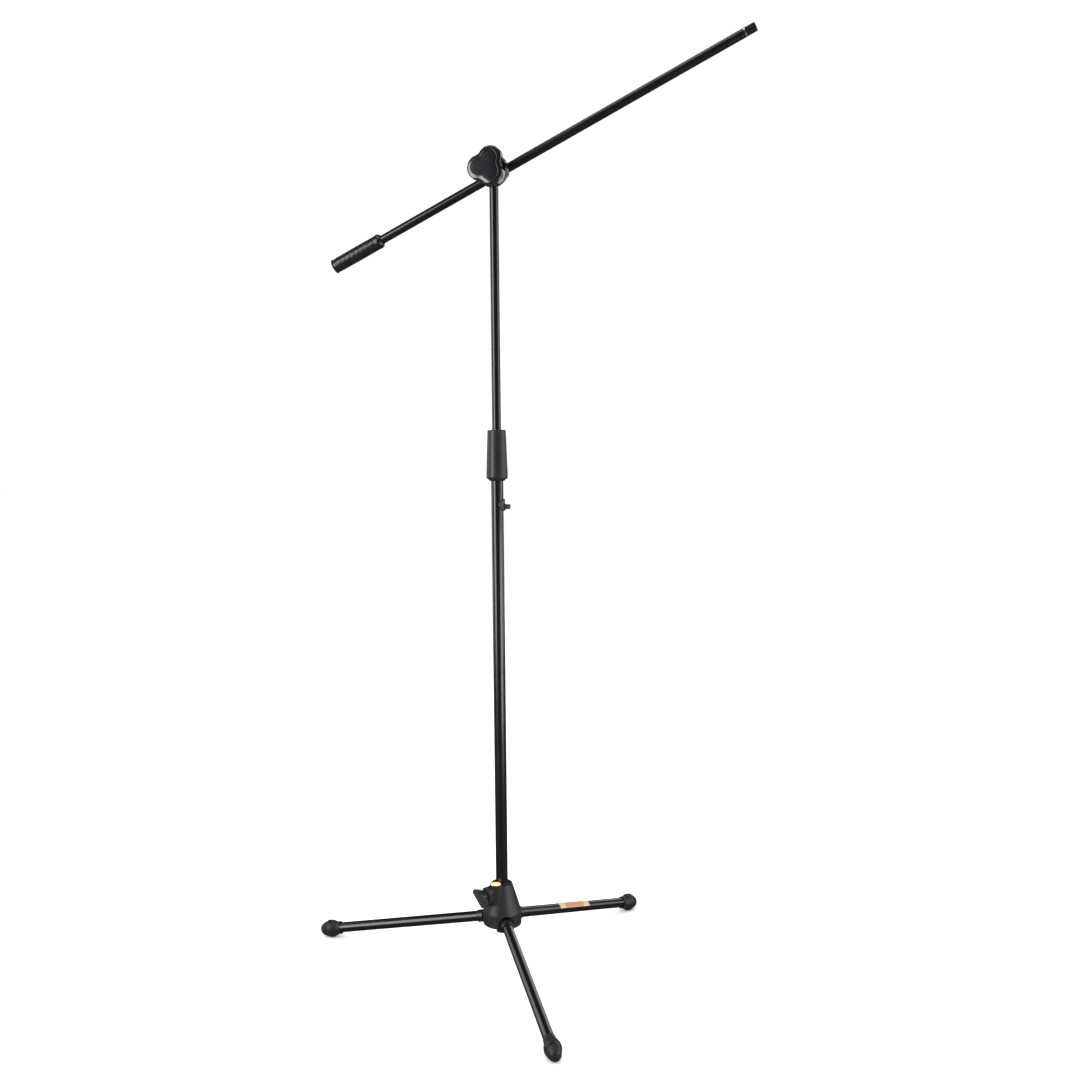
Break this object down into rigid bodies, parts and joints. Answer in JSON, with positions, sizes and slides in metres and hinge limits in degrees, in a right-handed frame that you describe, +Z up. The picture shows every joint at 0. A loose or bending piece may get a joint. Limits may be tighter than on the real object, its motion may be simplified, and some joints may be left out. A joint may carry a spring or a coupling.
{
  "type": "boom microphone stand",
  "caption": "Tripod floor stand with folding legs, a sliding swivelling mast and a tilting, sliding boom that ends in a microphone thread and carries a counterweight.",
  "frame": {"origin": "on the floor plane, directly under the mast axis, at the centre of the circle on which the three foot pads stand", "axes": "+Z up along the mast, +X the way the boom tip points (seen from above), -Y the side that carries the tilt knob"},
  "size_m": [0.8196, 0.6516, 1.6304],
  "materials": {
    "hub_plastic": "satin, finely pebbled die casting with a charcoal powder coat",
    "liner_nylon": "satin black nylon",
    "bright_steel": "bright zinc-plated steel",
    "gold_disc": "satin yellow-gold disc, plain",
    "pale_nylon": "natural nylon",
    "wing_plastic": "satin moulded charcoal plastic",
    "bracket_plastic": "satin black glass-filled plastic",
    "leg_paint": "gloss black powder coat",
    "foot_rubber": "dark semi-matt rubber",
    "label_film": "printed film, orange between two gold bands, no lettering",
    "mast_paint": "gloss black powder coat",
    "plug_plastic": "matt black plastic",
    "peg_plastic": "satin black plastic",
    "grip_plastic": "satin dark grey moulded plastic",
    "head_casting": "satin charcoal die casting",
    "friction_fibre": "brown friction fibre",
    "knob_plastic": "satin charcoal moulded plastic",
    "boom_paint": "gloss black powder coat",
    "thread_black": "black oxide steel thread",
    "collar_steel": "bright steel ring",
    "weight_steel": "plain turned steel",
    "weight_rubber": "dark grey semi-matt rubber"
  },
  "bodies": {
    "hub": {"hub_housing": "hub_plastic", "guide_liner": "liner_nylon", "clamp_nut": "bright_steel", "boss_cap": "gold_disc", "leg_pins": "bright_steel"},
    "clamp_shoe": {"clamp_shoe": "pale_nylon"},
    "wing_screw": {"clamp_bolt": "bright_steel", "wing_knob": "wing_plastic"},
    "leg_front_right": {"leg_bracket_front_right": "bracket_plastic", "leg_tube_front_right": "leg_paint", "foot_front_right": "foot_rubber"},
    "leg_front_left": {"leg_bracket_front_left": "bracket_plastic", "leg_tube_front_left": "leg_paint", "foot_front_left": "foot_rubber", "leg_label": "label_film"},
    "leg_rear": {"leg_bracket_rear": "bracket_plastic", "leg_tube_rear": "leg_paint", "foot_rear": "foot_rubber"},
    "lower_mast": {"lower_tube": "mast_paint", "tube_end_plug": "plug_plastic", "peg_saddle": "peg_plastic", "cable_peg": "peg_plastic", "clutch_body": "liner_nylon"},
    "clutch_wedge": {"clutch_wedge": "bright_steel"},
    "clutch_grip": {"grip_sleeve": "grip_plastic", "grip_cap": "grip_plastic"},
    "height_slider": {"guide_bush": "pale_nylon"},
    "upper_mast": {"upper_tube": "mast_paint", "upper_tube_plug": "plug_plastic", "bush_clip": "bright_steel", "mast_head": "head_casting"},
    "boom_clamp": {"eye_bolt": "bright_steel", "boom_block": "head_casting", "friction_disc": "friction_fibre"},
    "knob_washer": {"knob_washer": "bright_steel"},
    "tilt_knob": {"tilt_knob": "knob_plastic", "knob_nut": "bright_steel", "knob_cap": "knob_plastic"},
    "boom_bush": {"boom_bush": "liner_nylon"},
    "boom": {"boom_tube": "boom_paint", "mic_thread": "thread_black", "thread_collar": "collar_steel", "weight_core": "weight_steel", "weight_grip": "weight_rubber", "weight_cap": "weight_rubber"}
  },
  "joints": [
    {"name": "leg_fold_front_right", "type": "hinge", "parent": "hub", "child": "leg_front_right", "pos_m": [0.0115, -0.01992, 0.08442], "axis": [0.866, 0.5, 0], "range_deg": [0, 78.25]},
    {"name": "leg_fold_front_left", "type": "hinge", "parent": "hub", "child": "leg_front_left", "pos_m": [0.0115, 0.01992, 0.08442], "axis": [-0.866, 0.5, 0], "range_deg": [0, 78.25]},
    {"name": "leg_fold_rear", "type": "hinge", "parent": "hub", "child": "leg_rear", "pos_m": [-0.023, 0, 0.08442], "axis": [0, -1, 0], "range_deg": [0, 78.25]},
    {"name": "clamp_feed", "type": "slide", "parent": "hub", "child": "clamp_shoe", "axis": [-0.5, -0.866, 0], "range_m": [0, 0.0025]},
    {"name": "wing_turn", "type": "hinge", "parent": "clamp_shoe", "child": "wing_screw", "pos_m": [0, 0, 0.1335], "axis": [-0.5, -0.866, 0], "range_deg": [0, 720]},
    {"name": "mast_slide", "type": "slide", "parent": "hub", "child": "lower_mast", "axis": [0, 0, 1], "range_m": [-0.26, 0.02]},
    {"name": "clutch_feed", "type": "slide", "parent": "lower_mast", "child": "clutch_wedge", "axis": [0, 0, 1], "range_m": [0, 0.0015]},
    {"name": "grip_turn", "type": "hinge", "parent": "clutch_wedge", "child": "clutch_grip", "pos_m": [0, 0, 0.93], "axis": [0, 0, 1], "range_deg": [0, 120]},
    {"name": "height_slide", "type": "slide", "parent": "lower_mast", "child": "height_slider", "axis": [0, 0, 1], "range_m": [-0.41, 0.2]},
    {"name": "swivel", "type": "hinge", "parent": "height_slider", "child": "upper_mast", "pos_m": [0, 0, 0.98], "axis": [0, 0, 1], "continuous": true},
    {"name": "boom_tilt", "type": "hinge", "parent": "upper_mast", "child": "boom_clamp", "pos_m": [0, 0, 1.4315], "axis": [0, -1, 0], "range_deg": [-93.4, 61.6]},
    {"name": "knob_feed", "type": "slide", "parent": "boom_clamp", "child": "knob_washer", "axis": [0, -1, 0], "range_m": [0, 0.0025]},
    {"name": "knob_turn", "type": "hinge", "parent": "knob_washer", "child": "tilt_knob", "pos_m": [0, -0.035, 1.4315], "axis": [0, -1, 0], "range_deg": [0, 720]},
    {"name": "boom_roll", "type": "hinge", "parent": "boom_clamp", "child": "boom_bush", "pos_m": [0, 0.0205, 1.4315], "axis": [0.9178, 0, 0.3971], "continuous": true},
    {"name": "boom_slide", "type": "slide", "parent": "boom_bush", "child": "boom", "axis": [-0.9178, 0, -0.3971], "range_m": [-0.205, 0.42]}
  ],
  "couplings": [
    {"joint": "wing_turn", "follows": "clamp_feed", "rad_per_m": 5026.5},
    {"joint": "grip_turn", "follows": "clutch_feed", "rad_per_m": 1396.3},
    {"joint": "knob_turn", "follows": "knob_feed", "rad_per_m": 5026.5}
  ]
}
